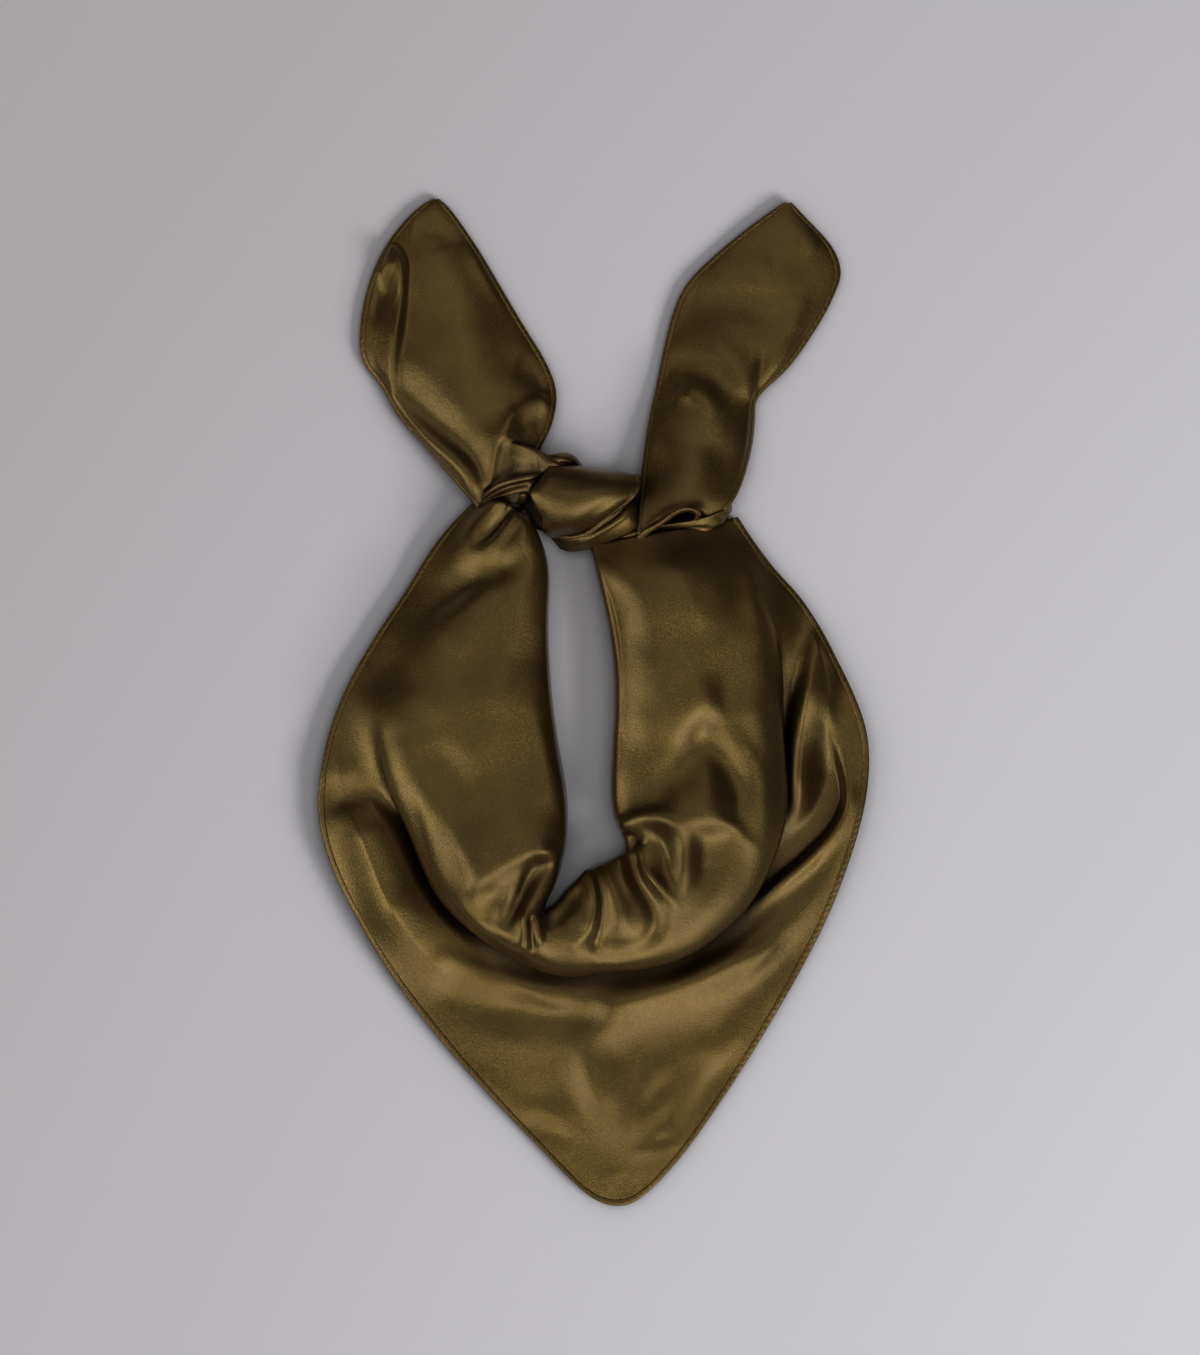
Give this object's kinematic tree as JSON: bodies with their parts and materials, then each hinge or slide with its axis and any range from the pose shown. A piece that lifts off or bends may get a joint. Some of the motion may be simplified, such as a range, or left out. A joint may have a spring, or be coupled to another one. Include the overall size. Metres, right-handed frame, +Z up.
{
  "type": "satin scarf",
  "caption": "Square satin scarf folded corner to corner, its long edge rolled into a puffed band round a neck gap, knotted with two short upstanding tails, lying flat.",
  "frame": {"origin": "centre of the bounding box in plan, on the surface that the scarf lies on", "axes": "+Z up from the surface, +Y from the bib's tip towards the tails, +X to the right as the scarf is seen from above"},
  "size_m": [0.2746, 0.5026, 0.0313],
  "materials": {
    "satin": "satin"
  },
  "bodies": {
    "root": {"satin_scarf": "satin"}
  },
  "joints": []
}
